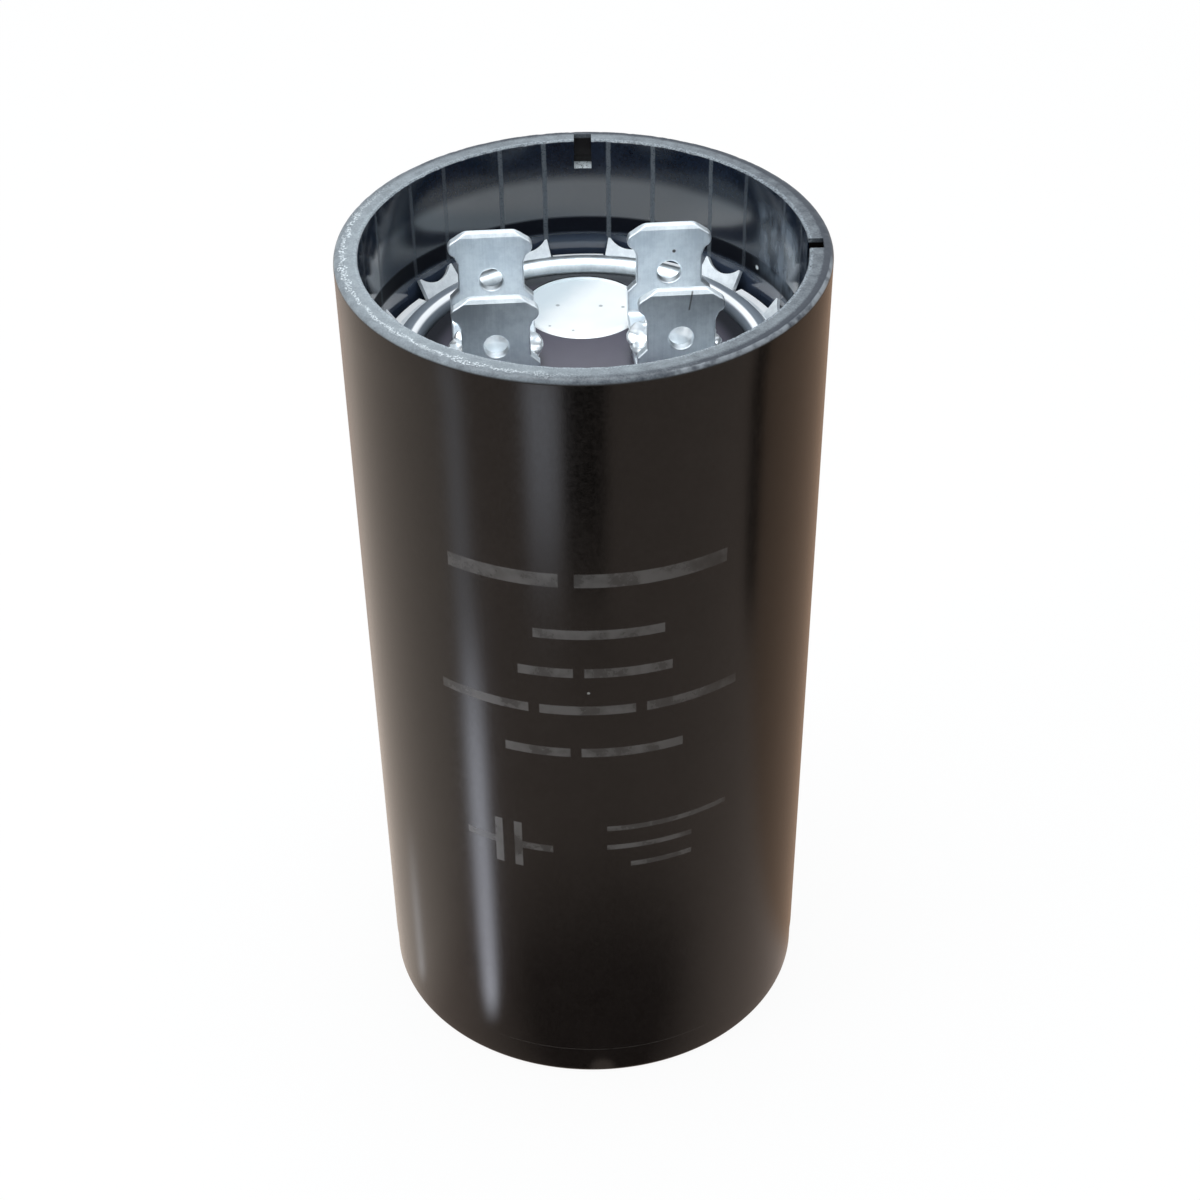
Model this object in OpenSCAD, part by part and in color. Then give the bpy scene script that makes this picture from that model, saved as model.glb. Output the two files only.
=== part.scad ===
// Motor start capacitor: a moulded cup, a sealed inner can held down in it by a
// toothed ring, and two riveted terminals with two push-on blades each.
// Millimetres. Origin at the centre of the base, +Z up the axis, front is -Y.

/* [Case] */
// Outside diameter of the moulded case
case_d = 36.5; // [36:0.5:46]
// Height of the case, base to rim
case_h = 69.85; // [50:0.05:110]
// Thickness of the case wall
case_wall = 1.8; // [1.6:0.1:2.2]
// Thickness of the case floor
case_floor = 2.4; // [1.6:0.2:3.2]
// Rounding of the outer edge of the rim
rim_round = 0.45; // [0.2:0.05:0.8]
// Height of the stepped band round the base
band_h = 2.9; // [2:0.1:4]
// How far the base band is set back from the wall
band_step = 0.05; // [0.05:0.05:0.4]
// Rounding of the bottom edge
base_round = 0.4; // [0.2:0.1:1.2]
// Width of the two notches inside the rim
notch_w = 1.35; // [0.8:0.05:2.5]
// How deep the notches go into the wall
notch_depth = 1.1; // [0.6:0.1:1.2]
// How far down from the rim the notches reach
notch_h = 2.35; // [1:0.05:5]

/* [Inner can] */
// Space between the can and the case bore, on the radius
can_clear = 0.75; // [0.4:0.05:1]
// Depth of the can's shoulder under the rim of the case
well_depth = 9.8; // [9.4:0.05:14]
// Thickness of the can's sheet
can_t = 0.5; // [0.4:0.05:0.7]
// Radius of the rolled bead round the can's mouth
bead_r = 0.95; // [0.85:0.05:1.05]
// How far the bead's centre lies in from the outside of the can
bead_set = 1.85; // [1.7:0.05:2]
// How far the centre of the bead is above the shoulder
bead_lift = 0.35; // [0.2:0.05:0.5]
// How far the curled edge of the can comes down past the bead's centre
curl_drop = 0.15; // [0.05:0.05:0.3]
// Rounding of the can's outer shoulder
can_round = 0.35; // [0.15:0.05:0.5]
// How far the rolled groove under the cover goes in
groove_in = 0.8; // [0.5:0.05:1]

/* [Cover and vent] */
// How far the cover's raised middle stands above the can's shoulder
cover_rise = 0.4; // [0.2:0.05:0.6]
// Thickness of the flange that the groove carries
cover_flange_t = 1.75; // [1.2:0.05:2.2]
// Thickness of the rubber gasket
gasket_t = 1.2; // [0.8:0.05:1.6]
// Space round the cover and the gasket
seal_clear = 0.1; // [0.05:0.05:0.2]
// Space between the raised middle and the bead
mouth_clear = 0.15; // [0.1:0.05:0.3]
// Height of the pad under each terminal
pad_h = 0.35; // [0.2:0.05:0.6]
// Diameter of the pad under each terminal
pad_d = 6.6; // [5.5:0.1:6.8]
// Turn of the cover and all that it carries, seen from above
cover_turn = 3.6; // [-15:0.2:15]
// Diameter of the vent disc
vent_d = 9.4; // [7:0.1:9.5]
// Thickness of the vent disc
vent_t = 0.4; // [0.3:0.05:0.8]
// Vent disc centre, sideways
vent_x = 0.35; // [-0.4:0.05:0.4]
// Land between the vent recess and the edge of the cover's middle
vent_land = 0.35; // [0.25:0.05:1]
// Space round the vent disc in its recess
vent_clear = 0.05; // [0.02:0.01:0.1]
// Diameter of the vent passage under the disc
vent_bore_d = 3.2; // [1.5:0.1:5]

/* [Terminals] */
// Distance between the two terminals
term_pitch = 13.5; // [12:0.1:15]
// Distance over the outsides of the two blades of one terminal
term_span = 10.35; // [9.9:0.05:10.8]
// Thickness of the terminal sheet
blade_t = 0.8; // [0.6:0.05:0.9]
// Width of a blade over its ears
blade_w = 6.35; // [6:0.05:6.6]
// Rounding of the ears of a blade
ear_r = 0.65; // [0.5:0.05:0.8]
// How far the round of the ears lies under the top edge
ear_drop = 0.6; // [0.4:0.05:0.8]
// Width of the straight top edge of a blade
tip_w = 3.7; // [3.4:0.1:4]
// Rounding of the corners of the top edge
tip_r = 0.8; // [0.3:0.1:1]
// Height of the bevel on each face of a blade's tip
bevel_h = 0.35; // [0.2:0.05:0.6]
// Depth of the bevel on each face of a blade's tip
bevel_t = 0.18; // [0.1:0.02:0.28]
// Width of the neck of a blade
neck_w = 5; // [4.4:0.1:5.6]
// Distance from the top of the blade to the start of the neck
neck_drop = 2.45; // [2.3:0.05:2.8]
// Width of the shoulders of a blade
shoulder_w = 6.35; // [6:0.05:6.7]
// Height of the blades from the underside of the terminal
blade_h = 8; // [7:0.05:8.5]
// Height of the shoulders from the underside of the terminal
shoulder_h = 2.65; // [2:0.05:3]
// Diameter of the catch hole in each blade
catch_d = 1.8; // [1.4:0.1:2.4]
// Distance of the catch hole from the top of the blade
catch_drop = 3.85; // [3.4:0.05:4.2]
// Inside radius of the terminal's bends
bend_r = 0.4; // [0.2:0.05:0.6]

/* [Rivets] */
// Diameter of the rivet shank
shank_d = 3.8; // [3:0.1:4]
// Space round the shank in the pieces that it joins
shank_clear = 0.05; // [0.02:0.01:0.1]
// Diameter of the swaged flange
flange_d = 7.3; // [6.4:0.1:7.6]
// Thickness of the swaged flange
flange_t = 0.7; // [0.5:0.05:1]
// Number of splits round the swaged flange
petals = 6; // [4:1:8]
// Width of the splits
slit_w = 0.4; // [0.2:0.05:0.8]
// Depth of the splits from the edge of the flange
slit_depth = 0.5; // [0.3:0.05:0.9]
// Diameter of the rivet's inner head
head_d = 5.2; // [4.6:0.1:6]
// Thickness of the rivet's inner head
head_t = 0.6; // [0.4:0.05:0.9]
// Diameter of the hollow in the swaged end
hollow_d = 2.4; // [1.6:0.1:2.6]
// Depth of the hollow in the swaged end
hollow_depth = 2.5; // [1:0.1:4]

/* [Retaining ring] */
// Thickness of the ring's sheet
ring_t = 0.4; // [0.3:0.05:0.5]
// Space between the ring and the bead
ring_clear = 0.1; // [0.05:0.05:0.2]
// Width of the ring's flat band
ring_band = 1.05; // [0.8:0.05:1.2]
// Width of the hoop that the wings are bent up from
ring_fold = 0.25; // [0.2:0.05:0.4]
// Number of wings
wings = 12; // [8:1:14]
// Angle taken by the root of one wing
wing_angle = 14.2; // [10:0.2:16]
// Angle taken by the two fangs of one wing
fang_angle = 12.4; // [8:0.2:15]
// Angle of the slit at each side of a wing
slit_angle = 0.5; // [0.3:0.1:1.5]
// Slope of the wings
wing_slope = 52; // [38:1:54]
// Direction of the first wing
wing_start = 16.8; // [0:0.2:30]
// Space left between the fangs and the case bore
fang_clear = 0.03; // [0.01:0.01:0.1]
// Width of the tip of each fang
fang_tip = 0.15; // [0.1:0.05:0.4]
// Depth of the scallop between the two fangs of a wing
scallop = 0.8; // [0.4:0.05:1]

/* [Inside] */
// Space between the winding and the cover, taken by the leads
lead_space = 3.4; // [2.8:0.1:8]
// Space between the winding and the can
winding_clear = 0.3; // [0.2:0.05:0.8]
// Diameter of the hole that the winding was wound on
core_d = 4; // [2.5:0.1:4.5]
// Width of the lead strips
lead_w = 4.6; // [4.5:0.1:5.5]
// Thickness of the lead strips
lead_t = 0.3; // [0.2:0.05:0.4]

/* [Hidden] */
$fn = 64;
eps = 0.5;
ear_touch = 0.98;
tip_steps = 6;
case_r = case_d / 2;
bore_r = case_r - case_wall;
can_r = bore_r - can_clear;
can_in = can_r - can_t;
bead_path_r = can_r - bead_set;
can_floor_z = case_floor + can_t;
shoulder_z = case_h - well_depth;
bead_z = shoulder_z + bead_lift;
under_z = shoulder_z - can_t;
gasket_z = under_z - gasket_t;
cover_z = gasket_z - cover_flange_t;
cover_top = shoulder_z + cover_rise;
seal_r = can_in - seal_clear;
mouth_r = bead_path_r - bead_r - mouth_clear;
term_z = cover_top + pad_h;
flange_z = term_z + blade_t;
hole_r = shank_d / 2 + shank_clear;
lug_z = cover_z - lead_t;
head_z = lug_z - head_t;
winding_top = cover_z - lead_space;
winding_l = winding_top - can_floor_z;
vent_z = cover_top - vent_t;
vent_y = mouth_r - vent_land - vent_clear - vent_d / 2;
ring_in = bead_path_r + bead_r + ring_clear;
fang_r = bore_r - fang_clear;
wing_root = ring_in + 1.3 * ring_fold;
wing_cut = 3;
wing_spare = 4;

// Square corner with its round part taken out, for rounding convex corners
module corner(r) {
    difference() {
        square(r + eps);
        circle(r);
    }
}

module case_section() {
    difference() {
        union() {
            square([case_r - band_step, case_h - eps]);
            translate([0, band_h]) square([case_r, case_h - band_h]);
        }
        translate([case_r - rim_round, case_h - rim_round]) corner(rim_round);
        translate([case_r - band_step - base_round, base_round]) mirror([0, 1]) corner(base_round);
        translate([-eps, case_floor]) square([bore_r + eps, case_h]);
    }
}

// The cup, with one notch at the right and one at the back
module outer_case() {
    color([0.09, 0.075, 0.07])
    difference() {
        rotate_extrude() case_section();
        for (turn = [0, 90]) {
            rotate([0, 0, turn])
            translate([bore_r - eps, -notch_w / 2, case_h - notch_h])
            cube([notch_depth + eps, notch_w, notch_h + eps]);
        }
    }
}

// Sheet of the can from the floor to the shoulder, with the groove that carries the cover
module can_wall() {
    ledge = can_in - groove_in;
    slope = cover_z - can_t - groove_in;
    polygon([[0, case_floor], [can_r, case_floor], [can_r, slope - can_t / 2],
             [ledge + can_t, cover_z - can_t - can_t / 2], [ledge + can_t, cover_z - can_t],
             [can_r, cover_z - can_t], [can_r, shoulder_z], [bead_path_r, shoulder_z],
             [bead_path_r, under_z], [can_in, under_z], [can_in, cover_z], [ledge, cover_z],
             [ledge, cover_z - can_t - can_t], [can_in, slope - can_t],
             [can_in, can_floor_z], [0, can_floor_z]]);
}

// Rim of the can, curled up and over, open at the inside underneath
module can_bead() {
    difference() {
        translate([bead_path_r, bead_z]) circle(bead_r);
        translate([bead_path_r, bead_z]) circle(bead_r - can_t);
        translate([0, under_z - case_d]) square(case_d);
        translate([0, under_z - eps]) square([bead_path_r, bead_z - curl_drop - under_z + eps]);
    }
}

module inner_can() {
    color([0.80, 0.81, 0.82])
    rotate_extrude() {
        difference() {
            can_wall();
            translate([bead_path_r, bead_z]) circle(bead_r - can_t);
            translate([can_r - can_round, shoulder_z - can_round]) corner(can_round);
        }
        can_bead();
    }
}

module winding() {
    color([0.72, 0.62, 0.45])
    translate([0, 0, can_floor_z])
    difference() {
        cylinder(h = winding_l, r = can_in - winding_clear);
        translate([0, 0, -eps]) cylinder(h = winding_l + 2 * eps, d = core_d);
    }
}

// Strip from the winding to the rivet: foot, riser and lug
module lead(side) {
    inner = term_pitch / 2 - head_d / 2 - 2 * lead_t;
    outer = term_pitch / 2 + lead_w / 2;
    rotate([0, 0, cover_turn]) scale([side, 1, 1])
    difference() {
        translate([0, lead_w / 2, 0]) rotate([90, 0, 0]) linear_extrude(lead_w) {
            translate([inner, winding_top]) square([outer - inner, lead_t]);
            translate([inner, winding_top]) square([lead_t, cover_z - winding_top]);
            translate([inner, lug_z]) square([outer - inner, lead_t]);
        }
        translate([term_pitch / 2, 0, lug_z - eps]) cylinder(h = lead_t + 2 * eps, r = hole_r);
    }
}

module lead_left() {
    color([0.78, 0.79, 0.80]) lead(-1);
}

module lead_right() {
    color([0.78, 0.79, 0.80]) lead(1);
}

// Cover: flange on the groove, raised middle, terminal pads, vent recess and passage
module cover() {
    color([0.36, 0.31, 0.31])
    rotate([0, 0, cover_turn])
    difference() {
        union() {
            translate([0, 0, cover_z]) cylinder(h = cover_flange_t, r = seal_r);
            translate([0, 0, cover_z]) cylinder(h = cover_top - cover_z, r = mouth_r);
            for (side = [-1, 1]) {
                translate([side * term_pitch / 2, 0, cover_z]) cylinder(h = term_z - cover_z, d = pad_d);
            }
        }
        for (side = [-1, 1]) {
            translate([side * term_pitch / 2, 0, cover_z - eps]) cylinder(h = term_z, r = hole_r);
        }
        translate([vent_x, vent_y, vent_z]) cylinder(h = vent_t + eps, r = vent_d / 2 + vent_clear);
        translate([vent_x, vent_y, cover_z - eps]) cylinder(h = vent_z, d = vent_bore_d);
    }
}

module gasket() {
    color([0.05, 0.05, 0.055])
    translate([0, 0, gasket_z])
    difference() {
        cylinder(h = gasket_t, r = seal_r);
        translate([0, 0, -eps]) cylinder(h = gasket_t + 2 * eps, r = mouth_r + seal_clear);
    }
}

module vent_disc() {
    color([0.86, 0.87, 0.88])
    rotate([0, 0, cover_turn])
    translate([vent_x, vent_y, vent_z]) cylinder(h = vent_t, d = vent_d);
}

// Outline of a blade from the front, its foot at zero height; the slanted tip runs on into its ears
module blade_outline() {
    ear_x = blade_w / 2 - ear_r;
    ear_z = blade_h - ear_drop - ear_r;
    slant = [tip_w / 2 - ear_x, blade_h - ear_z];
    lean = atan2(slant[1], slant[0]) - acos(ear_r / norm(slant));
    touch_r = ear_r * ear_touch;
    tip_x = tip_w / 2 - tip_r * (1 - sin(lean)) / cos(lean);
    inset = ear_r / 2;
    neck_z = blade_h - neck_drop;
    flare_z = shoulder_h + (shoulder_w - neck_w) / 2;
    side = [[shoulder_w / 2, 0], [shoulder_w / 2, shoulder_h], [neck_w / 2, flare_z], [neck_w / 2, neck_z],
            [ear_x + inset, ear_z - inset], [ear_x + touch_r * cos(lean), ear_z + touch_r * sin(lean)]];
    tip = [for (i = [0 : tip_steps]) let (a = lean + (90 - lean) * i / tip_steps)
           [tip_x + tip_r * cos(a), blade_h - tip_r + tip_r * sin(a)]];
    edge = concat(side, tip);
    polygon(concat(edge, [for (i = [len(edge) - 1 : -1 : 0]) [-edge[i][0], edge[i][1]]]));
    for (hand = [-1, 1]) {
        translate([hand * ear_x, ear_z]) circle(ear_r);
    }
}

// What the two bevels take off the tip of one blade, seen from the end
module tip_bevels() {
    for (face = [-1, 1]) {
        scale([face, 1])
        polygon([[blade_t / 2 - 2 * bevel_t, bevel_h], [blade_t / 2 + bevel_t, -2 * bevel_h],
                 [blade_t / 2 + eps, bevel_h]]);
    }
}

// The bent strip seen from the end: a foot and two blades joined by round bends
module strip_section() {
    half = term_span / 2;
    out_r = bend_r + blade_t;
    difference() {
        translate([-half, 0]) square([term_span, blade_h + eps]);
        translate([-half + blade_t, out_r]) square([term_span - 2 * blade_t, blade_h + eps]);
        translate([-half + out_r, blade_t]) square([term_span - 2 * out_r, blade_h + eps]);
        for (side = [-1, 1]) {
            translate([side * (half - out_r), out_r]) circle(bend_r);
            scale([side, 1]) translate([half - out_r, out_r]) mirror([0, 1]) corner(out_r);
            translate([side * (half - blade_t / 2), blade_h]) tip_bevels();
        }
    }
}

// One terminal: the strip cut to the blade outline, with catch holes and a rivet hole
module terminal(side) {
    rotate([0, 0, cover_turn]) translate([side * term_pitch / 2, 0, term_z])
    difference() {
        intersection() {
            translate([-shoulder_w, 0, 0]) rotate([90, 0, 90])
            linear_extrude(2 * shoulder_w) strip_section();
            translate([0, term_span, 0]) rotate([90, 0, 0])
            linear_extrude(2 * term_span) blade_outline();
        }
        translate([0, term_span, blade_h - catch_drop]) rotate([90, 0, 0])
        cylinder(h = 2 * term_span, d = catch_d);
        translate([0, 0, -eps]) cylinder(h = blade_t + 2 * eps, r = hole_r);
    }
}

module terminal_left() {
    color([0.70, 0.72, 0.74]) terminal(-1);
}

module terminal_right() {
    color([0.70, 0.72, 0.74]) terminal(1);
}

// Tubular rivet: inner head, shank and a flange swaged out and split into petals
module rivet(side) {
    flange_top = flange_z + flange_t;
    rotate([0, 0, cover_turn]) translate([side * term_pitch / 2, 0, 0])
    difference() {
        union() {
            translate([0, 0, head_z]) cylinder(h = head_t, d = head_d);
            translate([0, 0, head_z]) cylinder(h = flange_top - head_z, d = shank_d);
            translate([0, 0, flange_z]) cylinder(h = flange_t / 2, d = flange_d);
            translate([0, 0, flange_z + flange_t / 2])
            cylinder(h = flange_t / 2, d1 = flange_d, d2 = flange_d - flange_t);
        }
        translate([0, 0, flange_top - hollow_depth]) cylinder(h = hollow_depth + eps, d = hollow_d);
        for (k = [0 : petals - 1]) {
            rotate([0, 0, 360 / petals * (k + 0.5)])
            translate([flange_d / 2 - slit_depth, -slit_w / 2, flange_z - eps])
            cube([flange_d, slit_w, flange_t + 2 * eps]);
        }
    }
}

module rivet_left() {
    color([0.88, 0.89, 0.90]) rivet(-1);
}

module rivet_right() {
    color([0.88, 0.89, 0.90]) rivet(1);
}

// Section of one wing: flat where it joins the hoop, then bent up until it reaches the wall
module wing_section() {
    start = ring_in + ring_fold / 3;
    shift = ring_t * tan(wing_slope / 2);
    tip_z = (fang_r - wing_root) * tan(wing_slope);
    polygon([[start, 0], [wing_root, 0], [fang_r, tip_z],
             [fang_r - ring_t * sin(wing_slope), tip_z + ring_t * cos(wing_slope)],
             [wing_root - shift, ring_t], [start, ring_t]]);
}

// Plan of one wing, which narrows from its root to its fangs
module wing_plan() {
    root_half = wing_root * sin(wing_angle / 2);
    fang_half = fang_r * sin(fang_angle / 2);
    gain = (fang_half - root_half) / (fang_r - wing_root);
    near = root_half - gain * ring_band;
    far = fang_half + gain * ring_band;
    polygon([[wing_root - ring_band, -near], [fang_r + ring_band, -far],
             [fang_r + ring_band, far], [wing_root - ring_band, near]]);
}

// One wing, with a round scallop cut square to its slope between two fangs
module wing() {
    sweep = wing_angle + wing_spare;
    half_chord = fang_r * sin(fang_angle / 2) - fang_tip;
    scallop_r = (half_chord * half_chord + scallop * scallop) / (2 * scallop);
    reach = (fang_r - wing_root) / cos(wing_slope);
    difference() {
        intersection() {
            rotate([0, 0, -sweep / 2]) rotate_extrude(angle = sweep) wing_section();
            translate([0, 0, -eps]) linear_extrude(2 * wing_cut) wing_plan();
        }
        translate([wing_root, 0, 0]) rotate([0, -wing_slope, 0])
        translate([reach + scallop_r - scallop, 0, -wing_cut]) cylinder(h = 2 * wing_cut, r = scallop_r);
    }
}

// Ring: a flat band, cut back to a narrow hoop where each wing is bent up from it
module retaining_ring() {
    opened = wing_angle + 2 * slit_angle;
    color([0.82, 0.83, 0.84])
    translate([0, 0, shoulder_z]) {
        difference() {
            cylinder(h = ring_t, r = ring_in + ring_band);
            translate([0, 0, -eps]) cylinder(h = ring_t + 2 * eps, r = ring_in);
            for (k = [0 : wings - 1]) {
                rotate([0, 0, wing_start + 360 / wings * k - opened / 2]) rotate_extrude(angle = opened)
                translate([ring_in + ring_fold, -eps]) square([ring_band, ring_t + 2 * eps]);
            }
        }
        for (k = [0 : wings - 1]) {
            rotate([0, 0, wing_start + 360 / wings * k]) wing();
        }
    }
}

outer_case();
inner_can();
winding();
lead_left();
lead_right();
cover();
gasket();
vent_disc();
terminal_left();
terminal_right();
rivet_left();
rivet_right();
retaining_ring();
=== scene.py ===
# %% [markdown]
# # Dressing a motor start capacitor
#
# A start capacitor is a sealed aluminium can inside a black moulded cup. Two riveted terminals
# stand in the open top, and a spring ring with sharp fangs holds the can down.
# The solids come from the packed frame, in metres. This lesson gives them their finishes, and
# makes anew the few pieces whose edges, folds or wear are too fine for the solids. Their main
# heights are read from the frame, so that they sit where the solids do.

# %% Load the frame
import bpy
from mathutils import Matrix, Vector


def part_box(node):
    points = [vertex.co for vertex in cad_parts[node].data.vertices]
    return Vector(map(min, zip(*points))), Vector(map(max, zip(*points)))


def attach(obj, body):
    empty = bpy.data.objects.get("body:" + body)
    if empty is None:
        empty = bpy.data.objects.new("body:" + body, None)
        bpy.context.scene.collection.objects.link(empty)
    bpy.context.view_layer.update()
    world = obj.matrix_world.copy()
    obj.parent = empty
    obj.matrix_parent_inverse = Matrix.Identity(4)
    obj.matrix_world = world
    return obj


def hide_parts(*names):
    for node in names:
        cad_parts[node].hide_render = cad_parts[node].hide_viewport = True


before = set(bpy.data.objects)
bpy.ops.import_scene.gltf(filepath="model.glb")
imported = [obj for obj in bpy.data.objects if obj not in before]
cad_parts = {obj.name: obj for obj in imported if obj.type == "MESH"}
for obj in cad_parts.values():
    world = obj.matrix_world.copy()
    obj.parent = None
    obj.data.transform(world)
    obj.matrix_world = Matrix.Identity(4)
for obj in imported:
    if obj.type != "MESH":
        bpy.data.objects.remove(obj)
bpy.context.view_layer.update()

import math

import bmesh
import bpy
from mathutils import Matrix, Vector, noise

MM = 0.001
scene = bpy.context.scene


def in_mm(box):
    """A box's lowest and highest corner in mm, to a thousandth."""
    return [[round(x / MM, 3) for x in corner] for corner in box]


print("nodes:", ", ".join(sorted(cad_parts)))

# %% [markdown]
# ## Camera
#
# The picture looks down into the cup from a hand's breadth away, so the sides lean together
# towards the base. Such a view could be set by eye, but here it was solved from the rim, the
# base and the terminals, all of which have known places on the part. The lens axis runs below
# the middle of the frame, and that is what the shift is for.

# %% Place the camera
FRAME_PX = 1200
FOCAL_PX = 2367.6
AXIS_ROW_PX = 918.4
AIM = Vector((0.565, 0, 1.01)) * MM
DISTANCE = 220.96 * MM
ELEVATION = math.radians(44.548)
ROLL = math.radians(-0.762)
SENSOR = 36

back = Vector((0, -math.cos(ELEVATION), math.sin(ELEVATION)))
level_up = Vector((0, math.sin(ELEVATION), math.cos(ELEVATION)))
right = math.cos(ROLL) * Vector((1, 0, 0)) + math.sin(ROLL) * level_up
up = back.cross(right)

lens = bpy.data.cameras.new("camera")
lens.sensor_width = SENSOR
lens.lens = FOCAL_PX / FRAME_PX * SENSOR
lens.shift_y = (AXIS_ROW_PX - FRAME_PX / 2) / FRAME_PX
lens.clip_start = 0.01
camera = bpy.data.objects.new("camera", lens)
facing = Matrix((right, up, back)).transposed().to_4x4()
camera.matrix_world = Matrix.Translation(AIM + back * DISTANCE) @ facing
scene.collection.objects.link(camera)
scene.camera = camera
print(f"camera: {lens.lens:.1f} mm lens, {DISTANCE / MM:.0f} mm from its aim, shift {lens.shift_y:.3f}")

# %% [markdown]
# ## A wire for shader maths
#
# Every finish below is a small sum over noises and distances. Nodes could be added and linked
# one by one, but a sum reads better as a sum. So one class holds a socket, and each Python
# operator on it adds the Math node of the same meaning. Any other node comes from `node`,
# which sets the node's options first and then its sockets.

# %% The wire class
class Wire:
    """A socket of a node tree. Operators add Math nodes, and node() adds any other."""

    def __init__(self, tree, socket=None):
        self.tree = tree
        self.socket = socket

    def node(self, kind, settings=None, sockets=None, out=0):
        """A new node with its options set, then its sockets filled or linked, as a wire of one output."""
        made = self.tree.nodes.new("ShaderNode" + kind)
        for name, value in (settings or {}).items():
            setattr(made, name, value)
        for key, value in (sockets or {}).items():
            target = made.inputs[key]
            if isinstance(value, Wire):
                self.tree.links.new(value.socket, target)
            elif target.type == "RGBA":
                target.default_value = (*value, 1)
            else:
                target.default_value = value
        return Wire(self.tree, made.outputs[out] if made.outputs else None)

    def beside(self, out):
        """Another output of the same node."""
        return Wire(self.tree, self.socket.node.outputs[out])

    def maths(self, operation, *terms):
        """A Math node on wires and numbers."""
        return self.node("Math", {"operation": operation}, dict(enumerate(terms)))

    def __add__(self, other):
        return self.maths("ADD", self, other)

    def __sub__(self, other):
        return self.maths("SUBTRACT", self, other)

    def __rsub__(self, other):
        return self.maths("SUBTRACT", other, self)

    def __mul__(self, other):
        return self.maths("MULTIPLY", self, other)

    def __truediv__(self, other):
        return self.maths("DIVIDE", self, other)

    def __pow__(self, other):
        return self.maths("POWER", self, other)

    def __mod__(self, other):
        return self.maths("FLOORED_MODULO", self, other)

    def __abs__(self):
        return self.maths("ABSOLUTE", self)

    __radd__ = __add__
    __rmul__ = __mul__


def ramp(x, low, high):
    """0 below low, 1 above high, and a soft step between them."""
    return x.node("MapRange", {"interpolation_type": "SMOOTHSTEP"}, {0: x, 1: low, 2: high})


def band(x, low, high, soft):
    """1 between low and high, falling to 0 over soft on either side."""
    return ramp(x, low - soft, low) * (1 - ramp(x, high, high + soft))


def blend(share, first, second):
    """A colour that goes from first to second."""
    return share.node("Mix", {"data_type": "RGBA"}, {0: share, 6: first, 7: second}, out=2)


print("a Wire has", len([name for name in vars(Wire) if name.startswith("__")]), "special methods")

# %% [markdown]
# ## Where on the part
#
# The part is turned, so most of its wear is told by radius, height and angle rather than x and
# y. All pieces keep their place in their vertices, so object coordinates are the part's own
# frame, and one helper can give millimetres and degrees to every finish.

# %% Places, noises and finishes
class Place:
    """The shaded point: millimetres along the axes, radius from the axis and turn in degrees."""

    def __init__(self, wire):
        metres = wire.node("TexCoord", out="Object")
        self.mm = metres.node("VectorMath", {"operation": "SCALE"}, {"Vector": metres, "Scale": 1 / MM})
        self.x = wire.node("SeparateXYZ", {}, {"Vector": self.mm}, out="X")
        self.y = self.x.beside("Y")
        self.z = self.x.beside("Z")
        self.r = (self.x * self.x + self.y * self.y) ** 0.5
        self.turn = self.y.maths("ARCTAN2", self.y, self.x) * math.degrees(1)

    def grain(self, scale, stretch=(1, 1, 1), detail=2.0, rough=0.5):
        """Noise with so many lumps to a millimetre, drawn out along an axis by a small stretch."""
        drawn = self.mm.node("VectorMath", {"operation": "MULTIPLY"}, {0: self.mm, 1: stretch})
        return self.mm.node("TexNoise", {}, {"Vector": drawn, "Scale": scale, "Detail": detail,
                                             "Roughness": rough})


def spot(at, centre, size, soft):
    """1 within size mm of a centre, falling to 0 over soft."""
    away = at.mm.node("VectorMath", {"operation": "DISTANCE"}, {0: at.mm, 1: centre}, out="Value")
    return 1 - ramp(away, size, size + soft)


def finish(name):
    """An empty material, and a wire to build its nodes with."""
    material = bpy.data.materials.new(name)
    material.use_nodes = True
    material.node_tree.nodes.clear()
    return material, Wire(material.node_tree)


def surface(wire, sockets):
    """End a material in one Principled shader with these sockets."""
    shader = wire.node("BsdfPrincipled", {}, sockets)
    wire.node("OutputMaterial", {}, {"Surface": shader})


def relief(height, depth_mm):
    """A bump of that depth for a height that runs from 0 to 1."""
    return height.node("Bump", {}, {"Height": height, "Strength": 1.0, "Distance": depth_mm * MM})


print("helpers: Place, spot, finish, surface, relief")

# %% [markdown]
# ## Stage
#
# A plain pale floor and soft studio light. The floor could be lit to pure white by brute force,
# but then the metal would burn out. So a share of its white is its own for the rays that the
# camera and the glossy surfaces send, and the rest is ordinary lit floor, which keeps a shadow.

# %% Floor
FLOOR_SIZE = 3.0
FLOOR_OWN_WHITE = 0.93
FLOOR_GREY = (0.86, 0.86, 0.86)


def seen_rays(wire):
    """1 for the rays that show a thing: from the camera, off gloss and through clear surfaces."""
    path = wire.node("LightPath", out="Is Camera Ray")
    bounced = path.maths("MAXIMUM", path.beside("Is Glossy Ray"), path.beside("Is Transmission Ray"))
    return path.maths("MAXIMUM", path, bounced)


material, wire = finish("pale_floor")
lit = wire.node("BsdfDiffuse", {}, {"Color": FLOOR_GREY})
own = wire.node("Emission", {}, {"Color": (1, 1, 1), "Strength": 1.0})
floor_look = wire.node("MixShader", {}, {0: seen_rays(wire) * FLOOR_OWN_WHITE, 1: lit, 2: own})
wire.node("OutputMaterial", {}, {"Surface": floor_look})

half = FLOOR_SIZE / 2
corners = [(-half, -half, 0), (half, -half, 0), (half, half, 0), (-half, half, 0)]
mesh = bpy.data.meshes.new("floor")
mesh.from_pydata(corners, [], [(0, 1, 2, 3)])
mesh.materials.append(material)
floor = bpy.data.objects.new("floor", mesh)
scene.collection.objects.link(floor)
print("floor", FLOOR_SIZE, "m wide, own white", FLOOR_OWN_WHITE)

# %% Sky
SKY_STRENGTH = 0.45
SKY_TINT = (0.93, 0.97, 1.0)

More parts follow.
